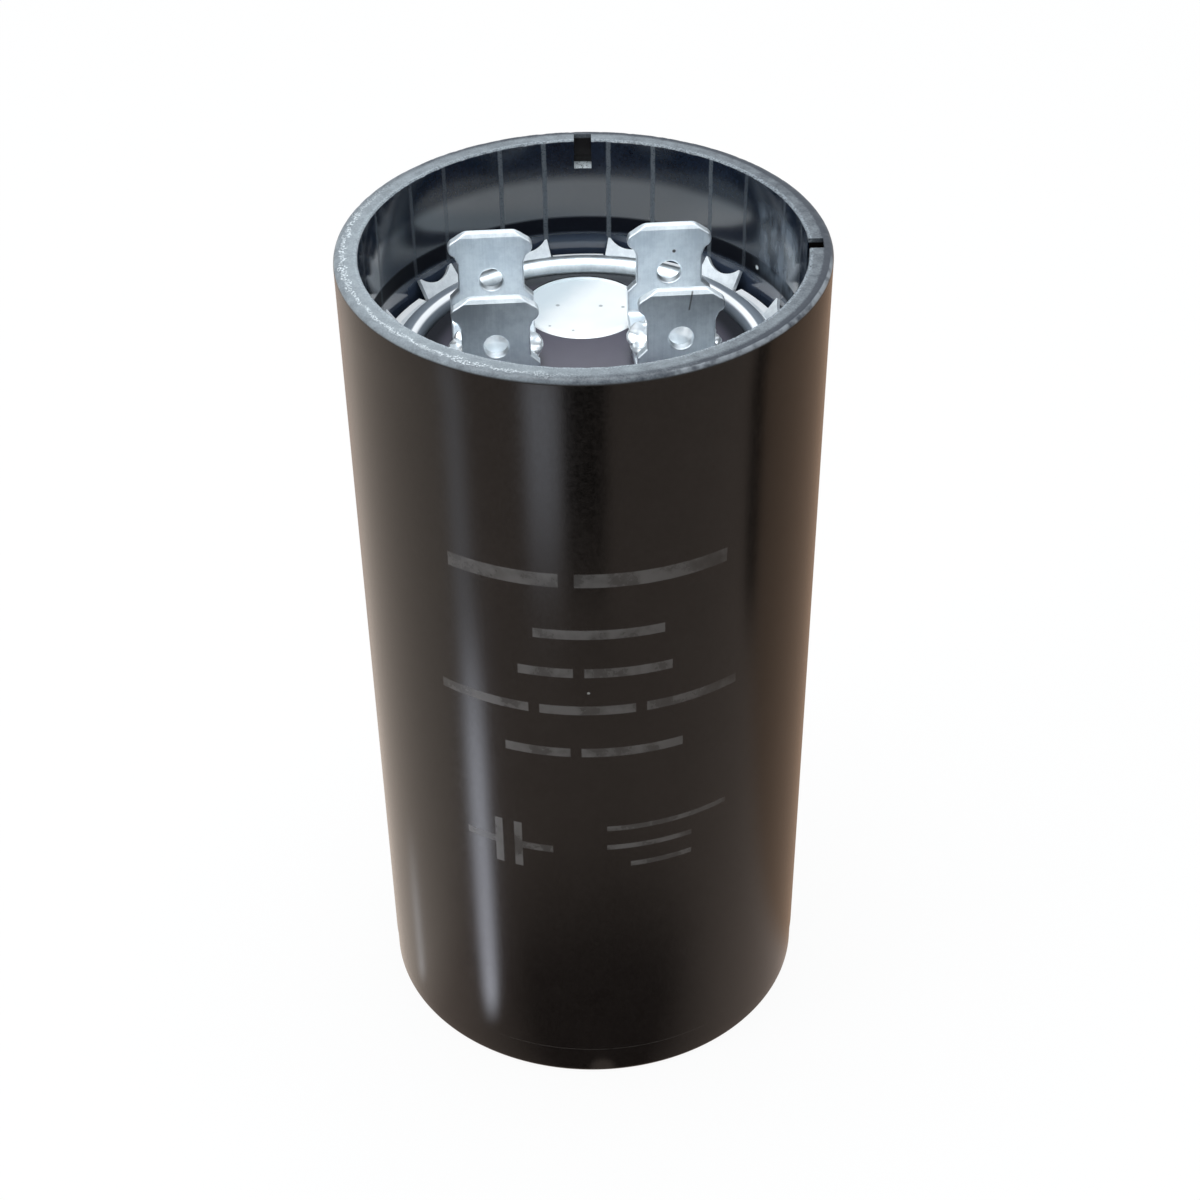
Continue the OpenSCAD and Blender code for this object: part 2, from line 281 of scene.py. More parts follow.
world = bpy.data.worlds.new("studio")
scene.world = world
world.use_nodes = True
world.node_tree.nodes.clear()
wire = Wire(world.node_tree)
strength = SKY_STRENGTH + (1 - SKY_STRENGTH) * seen_rays(wire)
sky = wire.node("Background", {}, {"Color": SKY_TINT, "Strength": strength})
wire.node("OutputWorld", {}, {"Surface": sky})
scene.view_settings.view_transform = "Standard"
print("sky lights with", SKY_STRENGTH, "and shows as 1")

# %% Lamps
LAMP_AIM = Vector((0, 0, 0.06))


def softbox(name, place, size, power, tint):
    """A soft rectangular lamp, in metres and watts, aimed at the well of the cup."""
    light = bpy.data.lights.new(name, "AREA")
    light.shape = "RECTANGLE"
    light.size, light.size_y = size
    light.energy = power
    light.color = tint
    lamp = bpy.data.objects.new(name, light)
    lamp.location = place
    lamp.rotation_euler = (LAMP_AIM - Vector(place)).to_track_quat("-Z", "Y").to_euler()
    scene.collection.objects.link(lamp)


softbox("overhead", (-0.02, 0.03, 0.62), (0.46, 0.42), 3.3, SKY_TINT)
softbox("side", (-0.55, -0.25, 0.40), (0.25, 0.45), 1.0, (0.95, 0.98, 1.0))

# %% [markdown]
# ## Cards for a black gloss
#
# From above, the upright wall of the cup mirrors only the floor round it. A photographer lays
# strips of pale and dark card there, out of the picture, to draw streaks on a black gloss.
# Painting streaks on the wall would be quicker, but they would stay put as the view moves.
# Here each card spreads over the floor from the foot of the wall, wider as it goes, with soft
# edges, and only glossy rays see it.

# %% Lay the cards
case_top = in_mm(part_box("outer_case"))[1]
CASE_R = case_top[0]
CARD_LIFT = 0.1 * MM
CARD_STEPS = 24
FOOT_WIDTH, FOOT_SPREAD = 4.0, 2.5
cards = []


def card(name, foot, turn, reach, soft, radiance):
    """A sector from a foot on the wall, at that turn in degrees, or from the axis where foot is None.

    It spans turn[0] to turn[1] degrees and reach[0] to reach[1] mm, its edges soft by (degrees, mm).
    """
    material, wire = finish(name)
    at = Place(wire)
    off = abs((at.turn - sum(turn) / 2 + 180) % 360 - 180)
    if foot is not None:
        off = off * at.r / (at.r + FOOT_WIDTH)
    wide = (turn[1] - turn[0]) / 2
    near = min(soft[1], 2 * reach[0])
    shown = (1 - ramp(off, wide - soft[0], wide)) * ramp(at.r, reach[0], reach[0] + near)
    shown = shown * (1 - ramp(at.r, reach[1] - soft[1], reach[1]))
    glow = wire.node("Emission", {}, {"Color": radiance, "Strength": 1.0})
    clear = wire.node("BsdfTransparent")
    wire.node("OutputMaterial", {}, {"Surface": wire.node("MixShader", {}, {0: shown, 1: clear, 2: glow})})
    spread = wide if foot is None else min(180, FOOT_SPREAD * wide)
    verts = []
    for step in range(CARD_STEPS + 1):
        angle = math.radians(sum(turn) / 2 - spread + 2 * spread * step / CARD_STEPS)
        verts += [(r * MM * math.cos(angle), r * MM * math.sin(angle), 0) for r in reach]
    mesh = bpy.data.meshes.new(name)
    mesh.from_pydata(verts, [], [(2 * i, 2 * i + 1, 2 * i + 3, 2 * i + 2) for i in range(CARD_STEPS)])
    mesh.materials.append(material)
    laid = bpy.data.objects.new(name, mesh)
    start = 0 if foot is None else CASE_R * MM
    angle = math.radians(foot or 0)
    laid.location = (start * math.cos(angle), start * math.sin(angle), CARD_LIFT * (1 + len(cards)))
    scene.collection.objects.link(laid)
    laid.visible_camera = laid.visible_diffuse = laid.visible_shadow = laid.visible_transmission = False
    cards.append(laid)


CARDS = [
    # name, foot, turn, reach, soft edges, radiance
    ("card_table", None, (-180, 180), (10, 240), (0, 8), (0.64, 0.52, 0.45)),
    ("card_left", None, (115, 222), (10, 230), (24, 8), (0.92, 0.79, 0.69)),
    ("card_right", None, (-18, 78), (10, 230), (16, 8), (0.52, 0.36, 0.26)),
    ("flag_near", -88, (-175, -5), (0.5, 36), (45, 26), (0.12, 0.09, 0.08)),
    ("flag_right", -48, (-8, 4), (52, 190), (3, 18), (0.0, 0.0, 0.0)),
    ("streak_far", -120, (-164, -145), (3, 170), (9, 26), (1.5, 1.5, 1.6)),
    ("streak_near", -119, (-163, -143), (2.5, 66), (10, 30), (5.6, 5.8, 6.5)),
    ("streak_edge", -147.2, (143, 155), (1.5, 26), (6, 16), (1.7, 1.62, 1.6)),
    ("streak_top", -100.5, (-122, -98), (62, 180), (8, 34), (2.7, 2.8, 3.1)),
    ("flag_front", -94, (-102, -77), (58, 210), (4, 26), (0.01, 0.01, 0.01)),
]
for row in CARDS:
    card(*row)
print("cards:", [laid.name for laid in cards])

# %% [markdown]
# ## Moulded cup
#
# The cup is one moulding in a black-brown resin, turned in form, with two small notches in its
# rim. A spun outline gives its shape, as on a lathe. It could keep the packed mesh, but the rim
# of the real cup is scuffed and slightly ragged, so the new outline has many points there and
# each of them is worn down a little by noise. The notches are then cut by a boolean.

# %% Spin helper
SHARP = 35


def turned(name, outline, steps, worn=None):
    """Spin (radius, height) points in mm, given upward on the outside and back down the inside."""
    verts, faces, rows = [], [], []
    for radius, height in outline:
        if radius == 0:
            rows.append([len(verts)] * steps)
            verts.append((0, 0, height * MM))
            continue
        rows.append(list(range(len(verts), len(verts) + steps)))
        for step in range(steps):
            angle = 2 * math.pi * step / steps
            r, z = worn(radius, height, angle) if worn else (radius, height)
            verts.append((r * MM * math.cos(angle), r * MM * math.sin(angle), z * MM))
    for low, high in zip(rows, rows[1:]):
        for step in range(steps):
            nxt = (step + 1) % steps
            corners = [low[step], low[nxt], high[nxt], high[step]]
            faces.append(list(dict.fromkeys(corners)))
    mesh = bpy.data.meshes.new(name)
    mesh.from_pydata(verts, [], faces)
    return settle(name, mesh)


def smooth(mesh, sharp):
    """Shade a mesh smooth, except over edges that bend by more than sharp degrees."""
    mesh.polygons.foreach_set("use_smooth", [True] * len(mesh.polygons))
    mesh.set_sharp_from_angle(angle=math.radians(sharp))


def settle(name, mesh, sharp=SHARP):
    """An object for a mesh, shaded smooth except over sharp edges."""
    mesh.validate()
    smooth(mesh, sharp)
    made = bpy.data.objects.new(name, mesh)
    scene.collection.objects.link(made)
    return made


def arc(centre, radius, start, end, steps):
    """Points of an arc, in degrees, as (radius, height)."""
    angles = [math.radians(start + (end - start) * i / steps) for i in range(steps + 1)]
    return [(centre[0] + radius * math.cos(a), centre[1] + radius * math.sin(a)) for a in angles]


def between(first, last, steps):
    """Points from first to last, without first."""
    return [(first[0] + (last[0] - first[0]) * i / steps, first[1] + (last[1] - first[1]) * i / steps)
            for i in range(1, steps + 1)]


print("helpers: turned, smooth, settle, arc, between")

# %% Cup
CASE_H = case_top[2]
CASE_FLOOR = in_mm(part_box("inner_can"))[0][2]  # the can stands on it
BORE_R = 16.45
BAND_R, BAND_H, BASE_ROUND, RIM_ROUND, RIM_CHAMFER = 18.2, 2.9, 0.4, 0.45, 0.12
CHIPPED_H, WELL_LOW = 1.2, 59
SCUFF_H, SCUFF_DIP, SCUFF_SAG, SCUFF_R = 0.8, 0.05, 0.03, 18
BITE, BITE_H, BITE_W = 0.07, 0.2, 0.3
CASE_STEPS = 480

outline = [(0, 0)] + arc((BAND_R - BASE_ROUND, BASE_ROUND), BASE_ROUND, -90, 0, 8)
outline += between(outline[-1], (BAND_R, BAND_H), 2) + [(CASE_R, BAND_H + 0.02)]
outline += between(outline[-1], (CASE_R, CASE_H - RIM_ROUND), 24)
outline += arc((CASE_R - RIM_ROUND, CASE_H - RIM_ROUND), RIM_ROUND, 12, 90, 7)
outline += between(outline[-1], (BORE_R + RIM_CHAMFER, CASE_H), 9)
outline += between(outline[-1], (BORE_R, CASE_H - RIM_CHAMFER), 2)
chipped_end = (BORE_R, CASE_H - CHIPPED_H)
outline += between(outline[-1], chipped_end, 8) + between(chipped_end, (BORE_R, WELL_LOW), 12)
outline += [(BORE_R, CASE_FLOOR), (0, CASE_FLOOR)]


def scuffed(radius, height, angle):
    """Wears the rim: small dips in its top, and a ragged inner edge."""
    near = max(0, 1 - (CASE_H - height) / SCUFF_H)
    point = Vector((SCUFF_R * math.cos(angle), SCUFF_R * math.sin(angle), radius))
    dip = max(0, noise.fractal(point * 1.7, 0.6, 2.0, 4)) * SCUFF_DIP
    sag = max(0, noise.noise(point * 0.5)) * SCUFF_SAG
    bite = max(0, noise.fractal(point * 2.3 + Vector((0, 0, 40)), 0.6, 2.0, 3)) * BITE
    inner = max(0, 1 - (CASE_H - height) / BITE_H) if radius < BORE_R + BITE_W else 0
    return radius + bite * inner, height - (dip + sag) * near


case = turned("case", outline, CASE_STEPS, scuffed)
print("cup:", len(case.data.vertices), "points")

# %% Notches
NOTCH_W, NOTCH_DEPTH, NOTCH_H = 1.35, 1.1, 2.35
NOTCH_TURNS, CUT_EXTRA = (0, 90), 1


def cut(target, low, high, turn):
    """Take a box, given in mm, out of a piece after turning it about the axis."""
    bm = bmesh.new()
    bmesh.ops.create_cube(bm, size=1)
    size = [b - a for a, b in zip(low, high)]
    middle = [(a + b) / 2 for a, b in zip(low, high)]
    bm.transform(Matrix.Rotation(math.radians(turn), 4, "Z") @ Matrix.Translation(Vector(middle) * MM)
                 @ Matrix.Diagonal((*[s * MM for s in size], 1)))
    mesh = bpy.data.meshes.new("cutter")
    bm.to_mesh(mesh)
    bm.free()
    cutter = bpy.data.objects.new("cutter", mesh)
    scene.collection.objects.link(cutter)
    step = target.modifiers.new("cut", "BOOLEAN")
    step.object, step.operation, step.solver = cutter, "DIFFERENCE", "EXACT"
    bpy.context.view_layer.update()
    shape = bpy.data.meshes.new_from_object(target.evaluated_get(bpy.context.evaluated_depsgraph_get()))
    target.modifiers.clear()
    old, target.data = target.data, shape
    bpy.data.objects.remove(cutter)
    bpy.data.meshes.remove(mesh)
    bpy.data.meshes.remove(old)


for turn in NOTCH_TURNS:
    low = (BORE_R - CUT_EXTRA, -NOTCH_W / 2, CASE_H - NOTCH_H)
    high = (BORE_R + NOTCH_DEPTH, NOTCH_W / 2, CASE_H + CUT_EXTRA)
    cut(case, low, high, turn)
smooth(case.data, SHARP)
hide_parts("outer_case")
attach(case, "root")
print("cup with notches:", len(case.data.polygons), "faces")

# %% [markdown]
# ## Resin finish
#
# The resin is nearly black, warm in the mass and glossy from its mould, with a fine peel and long
# faint lines along the wall. The cup is one moulding, so one material does all of it, and masks by
# radius, height and turn say where its wall, bore and rim are. Separate materials for them would
# need their borders cut into the mesh. The bore is painted cool blue, as painted sky light, and its
# foot is painted paler still, as painted light low in the well.

# %% Wall, bore and rim
WELL_Z = 30
PAINTED_DARK_Z, PAINTED_PALE_FOOT_Z = (62.2, 63.3), (61.5, 62.3)

material, wire = finish("black_resin")
at = Place(wire)
mottle = at.grain(0.35, detail=3)
drawn = at.grain(2.4, stretch=(1, 1, 0.03), detail=3)
fine = at.grain(9, detail=3, rough=0.6)
peel = at.grain(3.2, detail=3, rough=0.6)
bore = (1 - ramp(at.r, BORE_R + 0.04, BORE_R + 0.12)) * ramp(at.z, WELL_Z, WELL_Z + 1)
rim = ramp(at.z, CASE_H - 0.40, CASE_H - 0.24) * ramp(at.r, BORE_R + 0.01, BORE_R + 0.06)
grainy = 0.6 + 1.2 * (fine - 0.5) + 1.2 * (peel - 0.5) + 0.6 * (mottle - 0.5)
wall_black = blend(grainy, (0.0012, 0.0010, 0.0009), (0.0095, 0.0078, 0.0068))
# Painted shade: a band of the bore just above the ring is painted dark, for the dark reflection there.
painted_dark_band = band(at.z, *PAINTED_DARK_Z, 0.3) * bore
# Painted light: the bore's resin is painted cool blue, a lit copy of the same resin standing in for sky
# light.
bore_painted_sky_tint = blend(grainy * (1 - 0.9 * painted_dark_band), (0.0006, 0.0012, 0.0050), (0.0110, 0.0205, 0.0400))
# Painted light: the foot of the bore is painted paler and bluer, standing in for light low in the well.
bore_painted_sky_tint = blend(1 - ramp(at.z, *PAINTED_PALE_FOOT_Z), bore_painted_sky_tint, (0.045, 0.062, 0.100))
colour = blend(bore, wall_black, bore_painted_sky_tint)
print("masks for the wall, the bore and the rim")

# %% [markdown]
# ## Marks in the bore
#
# Pressing the ring home drew two scratches up the bore for each of its wings. They could be cut
# as grooves, but they are only a few hundredths deep, so a pale colour and a little bump do. They
# are clearest at the back. On the right a pale smear of painted light is also rougher, and a small
# painted glint sits below it. The floors of the two notches are painted pale, as painted highlights.

# %% Scratches and haze
WINGS, WING_START, FANG_HALF = 12, 16.8, 6.2
SCRATCH_FOOT_Z, SCRATCH_CLEAR_TURN = (61.4, 61.8), (58, 115)
PAINTED_LIGHT_TURN, PAINTED_LIGHT_Z = (18, 29), (63.3, 67.2)
GLINT_POINT = (13.47, 9.44, 62.65)

pitch = 360 / WINGS
from_wing = abs((at.turn - WING_START + pitch / 2) % pitch - pitch / 2)
wander = (at.grain(0.9, stretch=(0.4, 0.4, 1)) - 0.5) * 0.5
scratch = (1 - ramp(abs(from_wing - FANG_HALF + wander), 0.35, 0.85)) * bore * ramp(at.z, *SCRATCH_FOOT_Z)
scratch = scratch * ramp(fine, 0.25, 0.5) * (0.4 + 0.6 * band(at.turn, *SCRATCH_CLEAR_TURN, 15))
# Painted light: a pale smear on the right of the bore, where light falls, also made rougher.
painted_light_smear = band(at.turn, *PAINTED_LIGHT_TURN, 9) * band(at.z, *PAINTED_LIGHT_Z, 1.6) * bore
painted_light_smear = painted_light_smear * ramp(at.grain(0.8, stretch=(1, 1, 0.5)), 0.3, 0.65)
ledge_z = CASE_H - NOTCH_H
# Painted highlight: the floors of the two notches are painted pale.
painted_ledge_glint = band(at.z, ledge_z - 0.05, ledge_z + 0.05, 0.03)
painted_ledge_glint = painted_ledge_glint * band(at.r, BORE_R + 0.1, BORE_R + NOTCH_DEPTH, 0.05)
# Painted highlight: a small near-white glint on the bore.
painted_glint = spot(at, GLINT_POINT, 0.10, 0.14)
colour = blend(painted_light_smear * 0.8, colour, (0.22, 0.27, 0.33))
colour = blend(scratch * 0.8, colour, (0.15, 0.175, 0.20))
colour = blend(painted_ledge_glint * ramp(fine, 0.3, 0.5), colour, (0.55, 0.60, 0.63))
colour = blend(painted_glint, colour, (0.90, 0.94, 0.96))
print(2 * WINGS, "scratches in the bore")

# %% [markdown]
# ## Worn rim
#
# Handling has rubbed the flat of the rim grey, and its inner edge is chipped to a paler, ragged
# line. Its tone is painted lighter on the left, towards the light, and a little at the back and
# right, as painted light. Its outer half carries painted shade, apart from a rubbed line on the left
# and a painted highlight along the edge at the front right. This could be painted on the mesh by
# hand, but a sum of masks is easier to change: the painted light follows the cosine of the turn, and
# noise breaks it up.

# %% Rim wear
RIM_LIT_TURN = 208
LIT_BACK_TURN, LIT_RIGHT_TURN, GLINT_EDGE_TURN = (55, 90), (-30, 40), (-66, -14)

speckle = at.grain(7, detail=3, rough=0.6)
smear = at.grain(1.1, detail=3)
toward_light = at.turn.maths("COSINE", (at.turn - RIM_LIT_TURN) * math.radians(1))
ragged_r = at.r + 0.3 * (smear - 0.5)
# Painted shade on the outer half of the rim, strongest away from the light.
painted_edge_shade = (0.34 - 0.20 * toward_light) * ramp(ragged_r, CASE_R - 0.90, CASE_R - 0.45)
# Painted light: the rim's tone is lighter towards the light on the left, and at the back and right; the
# noise terms are wear.
tone = 0.35 + 0.23 * toward_light + 0.13 * band(at.turn, *LIT_BACK_TURN, 25) + 0.04 * band(at.turn, *LIT_RIGHT_TURN, 20)
tone = tone - painted_edge_shade + 0.53 * (smear - 0.5) + 0.53 * (speckle - 0.5)
# Painted highlight along the rim's outer edge at the front right.
painted_edge_glint = band(at.r, CASE_R - 0.22, CASE_R - 0.04, 0.08) * band(at.turn, *GLINT_EDGE_TURN, 12) * rim
lip = rim * (1 - ramp(ragged_r, BORE_R + 0.22, BORE_R + 0.40)) * ramp(speckle, 0.40, 0.62)
rubbed_r = at.r + 1.3 * (smear - 0.5) + 0.5 * (speckle - 0.5)
rubbed_line = band(rubbed_r, CASE_R - 0.80, CASE_R - 0.54, 0.10) * ramp(toward_light, 0.4, 0.85) * rim
colour = blend(rim, colour, blend(tone, (0.034, 0.041, 0.054), (0.42, 0.475, 0.51)))
colour = blend(lip * 0.6, colour, (0.40, 0.455, 0.50))
colour = blend(painted_edge_glint * ramp(smear, 0.25, 0.60) * 0.65, colour, (0.34, 0.37, 0.40))
colour = blend(rubbed_line * ramp(speckle, 0.42, 0.66) * 0.8, colour, (0.80, 0.86, 0.90))
print("rim palest at", RIM_LIT_TURN, "degrees")

# %% [markdown]
# ## Printed panel
#
# The wall carries a panel in thin grey ink, much rubbed. Here it is a plain layout of bars and
# the drawing sign for a capacitor: two plates with a lead to each. It could be raised from the
# wall as thin plates, but ink has hardly any thickness, so masks in the resin's colour do. Each row
# shares one band of height, and its bars are bands of turn.

# %% Print
PRINT = [
    (53.2, 1.1, [(-124, -97), (-93, -56)]),
    (48.3, 0.75, [(-103, -72)]),
    (44.7, 0.75, [(-107, -94), (-91, -70)]),
    (41.1, 0.75, [(-128, -105), (-102, -79), (-76, -52)]),
    (36.9, 0.75, [(-111, -95), (-92, -67)]),
    (28.9, 0.4, [(-86, -54)]), (26.9, 0.4, [(-86, -64)]), (24.9, 0.4, [(-80, -64)]),
    (26.6, 0.6, [(-123, -114), (-109, -100)]),
    (26.6, 4.6, [(-115, -113.2), (-109.8, -108)]),
]

ink = 0
for height, tall, bars in PRINT:
    row = sum(band(at.turn, start, end, 0.3) for start, end in bars)
    ink = row * band(at.z, height - tall / 2, height + tall / 2, 0.1) + ink
rubbed = (0.45 + 0.55 * ramp(at.grain(0.5, detail=4), 0.35, 0.60)) * (1 - 0.6 * ramp(at.turn, -80, -50))
ink = ink.maths("MINIMUM", ink, 1.0) * rubbed * ramp(at.r, CASE_R - 0.2, CASE_R - 0.1)
colour = blend(ink * 0.8, colour, (0.105, 0.101, 0.097))
seam = band(at.z, BAND_H - 0.02, BAND_H + 0.06, 0.05) * band(at.turn, -105, -70, 20) * ramp(fine, 0.3, 0.6)
colour = blend(seam * 0.6, colour, (0.075, 0.068, 0.062))
print("print:", sum(len(bars) for _, _, bars in PRINT), "bars")

# %% [markdown]
# ## The resin as a whole
#
# A few specks of dust lie on the wall. Then the masks are put together. The wall is smooth with a
# fine peel, the bore has a clear gloss, and its marks and the print are duller. Just above the ring
# a band is painted dark, as painted shade, with a metallic share and a black colour that leave no
# white reflection. A lower reflection for the whole cup would take the gloss off the wall too.

# %% Dust, and the whole resin
DULL_TOP_Z = (66.2, 67.3)

dust = 1 - ramp(at.mm.node("TexVoronoi", {}, {"Vector": at.mm, "Scale": 0.2}), 0.014, 0.030)
colour = blend(dust * (1 - rim) * (1 - bore), colour, (0.22, 0.22, 0.21))
rough = (0.135 + 0.04 * drawn + 0.14 * (peel - 0.5)) * (1 - bore) + 0.11 * bore + 0.05 * fine + 0.4 * painted_dark_band
rough = rough + 0.30 * scratch + 0.25 * rim + 0.2 * painted_light_smear + 0.15 * ink
height = (0.15 * drawn + 0.5 * fine + 0.4 * peel) * (1 - 0.9 * bore)
height = height + 3 * rim * at.grain(4.5, detail=4) - 2 * scratch
gloss = bore * (1 - scratch) * (1 - painted_dark_band) * (1 - 0.9 * ramp(at.z, *DULL_TOP_Z))
surface(wire, {"Base Color": colour, "Roughness": rough, "Specular IOR Level": 0.32,
               "Metallic": 0.7 * painted_dark_band * (1 - scratch) * (1 - painted_glint),
               "Coat Weight": gloss, "Coat IOR": 1.76, "Coat Roughness": 0.11,
               "Normal": relief(height, 0.004)})
case.data.materials.clear()
case.data.materials.append(material)
print("resin nodes:", len(material.node_tree.nodes))

# %% [markdown]
# ## Terminals
#
# Each terminal is one strip of tinned sheet: two push-on blades and a foot between them. The
# packed solid has its form, but a pressed part has edges rounded by the die, and those edges
# catch the light. So the strip is made as the press makes it. A flat blank with its holes is
# drawn as a filled curve, whose bevel rounds the edges, then cut into slices where it will
# bend, and folded up. The tips thin out to a bevel, which leads a push-on receptacle in.

# %% Blade blank
strip_low, strip_high = in_mm(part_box("terminal_left"))
TERM_Z = strip_low[2]
BLADE_H = round(strip_high[2] - TERM_Z, 3)
COVER_TURN, TERM_PITCH, TERM_SPAN = 3.6, 13.5, 10.35
BLADE_T, BEND_R = 0.8, 0.4
EAR_R, EAR_X, EAR_Z = 0.65, 2.525, 6.75
CATCH_R, CATCH_Z, RIVET_HOLE_R = 0.9, 4.15, 1.95
TIP_X, TIP_Z, TIP_R, TIP_FROM = 1.602, 7.2, 0.8, 55.6
PRESS_ROUND, BEVEL_H, BEVEL_T = 0.13, 0.35, 0.18
BLADE_STEPS = 70

# (height, half width) up the side of a blade: shoulder, waist, ear and the round corner of its tip
SIDE = [(0, 3.175), (2.65, 3.175), (3.325, 2.5), (5.55, 2.5), (6.425, 2.85), (7.276, 2.885)]
SIDE += [(z, w) for w, z in arc((TIP_X, TIP_Z), TIP_R, TIP_FROM, 90, 8)]

out_r = BEND_R + BLADE_T
mid_r = BEND_R + BLADE_T / 2
foot_half = TERM_SPAN / 2 - out_r
bend_length = mid_r * math.pi / 2
blade_start = foot_half + bend_length - out_r


def half_width(z):
    """Half the blade's width at a height: its straight sides, or its round ears where they are wider."""
    for (z0, w0), (z1, w1) in zip(SIDE, SIDE[1:]):
        if z <= z1:
            break
    wide = w0 + (w1 - w0) * (z - z0) / (z1 - z0)
    ear = EAR_X + math.sqrt(EAR_R ** 2 - (z - EAR_Z) ** 2) if abs(z - EAR_Z) < EAR_R else 0
    return max(wide, ear)


def loop(curve, points):
    """Add a closed outline to a curve."""
    spline = curve.splines.new("POLY")
    spline.points.add(len(points) - 1)
    for target, (x, y) in zip(spline.points, points):
        target.co = (x * MM, y * MM, 0, 1)
    spline.use_cyclic_u = True


def ring_points(y, radius, steps=40):
    """A circle about a point of the strip's middle line."""
    return [(radius * math.cos(2 * math.pi * i / steps), y + radius * math.sin(2 * math.pi * i / steps))
            for i in range(steps)]


def blank(name, outlines, thick, rounding):
    """A flat plate of that thickness, with rounded edges, from closed outlines in mm."""
    curve = bpy.data.curves.new(name, "CURVE")
    curve.dimensions, curve.fill_mode = "2D", "BOTH"
    curve.extrude = (thick / 2 - rounding) * MM
    curve.bevel_depth, curve.bevel_resolution, curve.offset = rounding * MM, 2, -rounding * MM
    for points in outlines:
        loop(curve, points)
    plate = bpy.data.objects.new(name, curve)
    scene.collection.objects.link(plate)
    bpy.context.view_layer.update()
    mesh = bpy.data.meshes.new_from_object(plate.evaluated_get(bpy.context.evaluated_depsgraph_get()))
    bpy.data.objects.remove(plate)
    bpy.data.curves.remove(curve)
    return mesh


even = {out_r + (BLADE_H - out_r) * i / BLADE_STEPS for i in range(BLADE_STEPS + 1)}
heights = sorted(even | {z for z, _ in SIDE if z > out_r})
half_side = [(half_width(z), blade_start + z) for z in heights]
edge = [(w, -y) for w, y in reversed(half_side)] + half_side
strip = edge + [(-w, y) for w, y in reversed(edge)]
catch_y = blade_start + CATCH_Z
holes = [(0, RIVET_HOLE_R), (catch_y, CATCH_R), (-catch_y, CATCH_R)]
blade_outlines = [strip] + [ring_points(y, radius) for y, radius in holes]
print(f"blank: {2 * half_side[-1][1]:.2f} mm long, {len(strip)} points round")

# %% Fold the terminals
FOLD_SLICES, BLADE_SHARP = 8, 13
WELD, ON_PLANE = 0.002, 0.001

bevel_start = half_side[-1][1] - BEVEL_H
slices = [foot_half + bend_length * i / FOLD_SLICES for i in range(FOLD_SLICES + 1)] + [bevel_start]


def folded(y, w):
    """Where a point of the blank goes: y along the strip, w above its middle plane, all in mm."""
    far = abs(y) - foot_half
    w *= 1 - BEVEL_T / (BLADE_T / 2) * max(0, abs(y) - bevel_start) / BEVEL_H
    if far <= 0:
        return y, BLADE_T / 2 + w
    angle = min(far / mid_r, math.pi / 2)
    over = foot_half + (mid_r - w) * math.sin(angle)
    rise = out_r - (mid_r - w) * math.cos(angle) + max(0, far - bend_length)
    return math.copysign(over, y), rise


def terminal(name, side):
    """A folded terminal, on the left for side -1 and on the right for 1."""
    mesh = blank(name, blade_outlines, BLADE_T, PRESS_ROUND)
    bm = bmesh.new()
    bm.from_mesh(mesh)
    bmesh.ops.remove_doubles(bm, verts=bm.verts, dist=WELD * MM)
    for sign in (-1, 1):
        for y in slices:
            bmesh.ops.bisect_plane(bm, geom=bm.verts[:] + bm.edges[:] + bm.faces[:], dist=ON_PLANE * MM,
                                   plane_co=(0, sign * y * MM, 0), plane_no=(0, 1, 0))
    for v in bm.verts:
        y, z = folded(v.co.y / MM, v.co.z / MM)
        v.co = Vector((v.co.x, y * MM, z * MM))
    bmesh.ops.recalc_face_normals(bm, faces=bm.faces)
    bm.transform(Matrix.Rotation(math.radians(COVER_TURN), 4, "Z")
                 @ Matrix.Translation(Vector((side * TERM_PITCH / 2, 0, TERM_Z)) * MM))
    bm.to_mesh(mesh)
    bm.free()
    return settle(name, mesh, BLADE_SHARP)


SIDES = {"left": -1, "right": 1}
terminals = {}
for word, side in SIDES.items():
    made = terminal("blades_" + word, side)
    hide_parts("terminal_" + word)
    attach(made, "root")
    terminals[word] = made
    print(made.name, len(made.data.polygons), "faces")

# %% [markdown]
# ## Fanged ring
#
# The ring is a flat hoop of spring steel. Twelve wings are bent up from it, each ending in two
# fangs that bite into the cup, with a bar of the flat band left between wings. It is laid out
# here on a grid of turn and radius: a cell is either sheet or gap, and walls close the sheet
# wherever it meets a gap. A boolean would work too, but the grid lets the bend and the scallop
# follow the sheet, and leaves clean edges for a bevel.

# %% Lay out the ring
SHOULDER_Z = in_mm(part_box("retaining_ring"))[0][2]
RING_T, RING_IN = 0.4, 14.9
HOOP_R, BAR_R, BEND_START, FANG_R, FANG_Z = 15.15, 15.95, 15.16, 16.262, 1.652
WING_HALF, SLIT_ANGLE, FANG_TIP, SCALLOP, BEND_HALF = 7.1, 0.5, 0.15, 0.8, 0.1
HOOP_CELLS, SHEET_CELLS, WING_CELLS, BAR_CELLS = 2, 8, 20, 14

wing_reach = math.hypot(FANG_R - BEND_START, FANG_Z - RING_T / 2)
wing_slope = math.atan2(FANG_Z - RING_T / 2, FANG_R - BEND_START)
half_chord = FANG_R * math.sin(math.radians(FANG_HALF)) - FANG_TIP
scallop_r = (half_chord ** 2 + SCALLOP ** 2) / (2 * SCALLOP)


def reach_at(turn_off):
    """How far up its slope a wing goes, at so many degrees from its middle."""
    across = FANG_R * math.sin(math.radians(abs(turn_off) * FANG_HALF / WING_HALF))
    if across >= half_chord:
        return wing_reach
    return wing_reach + scallop_r - SCALLOP - math.sqrt(scallop_r ** 2 - across ** 2)


